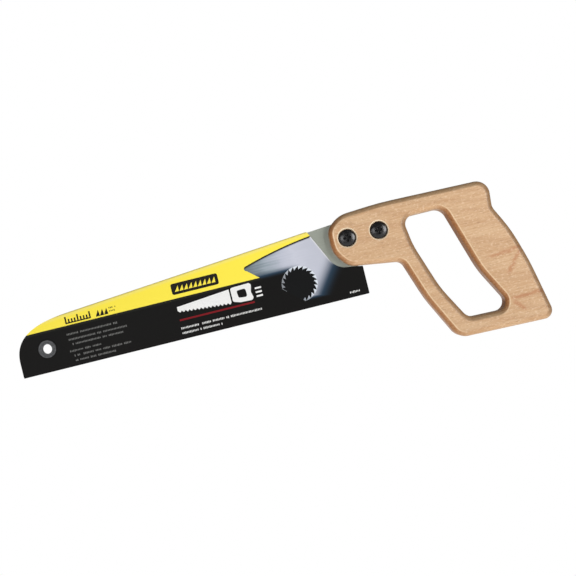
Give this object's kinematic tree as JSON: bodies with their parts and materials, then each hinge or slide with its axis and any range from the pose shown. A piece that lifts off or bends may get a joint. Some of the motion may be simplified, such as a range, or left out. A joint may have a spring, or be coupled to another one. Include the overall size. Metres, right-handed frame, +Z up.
{
  "type": "hand saw",
  "caption": "Short hand saw with a tapered steel blade, a closed wooden handle held by screws, and a printed card sleeve that slides off the blade.",
  "frame": {"origin": "middle of the underside of the whole saw's box, with the sleeve on", "axes": "+X from the toe of the blade towards the handle, along the tooth line; +Y through the thickness, from the screw heads to the barrel nuts; +Z up, away from the teeth"},
  "size_m": [0.3928, 0.022, 0.1127],
  "materials": {
    "handle_wood": "satin lacquer over pale straight-grained hardwood",
    "blade_steel": "fine ground steel under a thin lacquer",
    "black_screws": "glossy black",
    "printed_card": "coated card, printed yellow and black",
    "ring_plastic": "dark grey, satin"
  },
  "bodies": {
    "saw": {"handle": "handle_wood", "blade": "blade_steel", "front_screw": "black_screws", "front_barrel_nut": "black_screws", "rear_screw": "black_screws", "rear_barrel_nut": "black_screws"},
    "sleeve": {"card_sleeve": "printed_card", "front_hang_ring": "ring_plastic", "back_hang_ring": "ring_plastic"}
  },
  "joints": [
    {"name": "sleeve_slide", "type": "slide", "parent": "saw", "child": "sleeve", "axis": [-1, 0, 0], "range_m": [0, 0.27]}
  ]
}
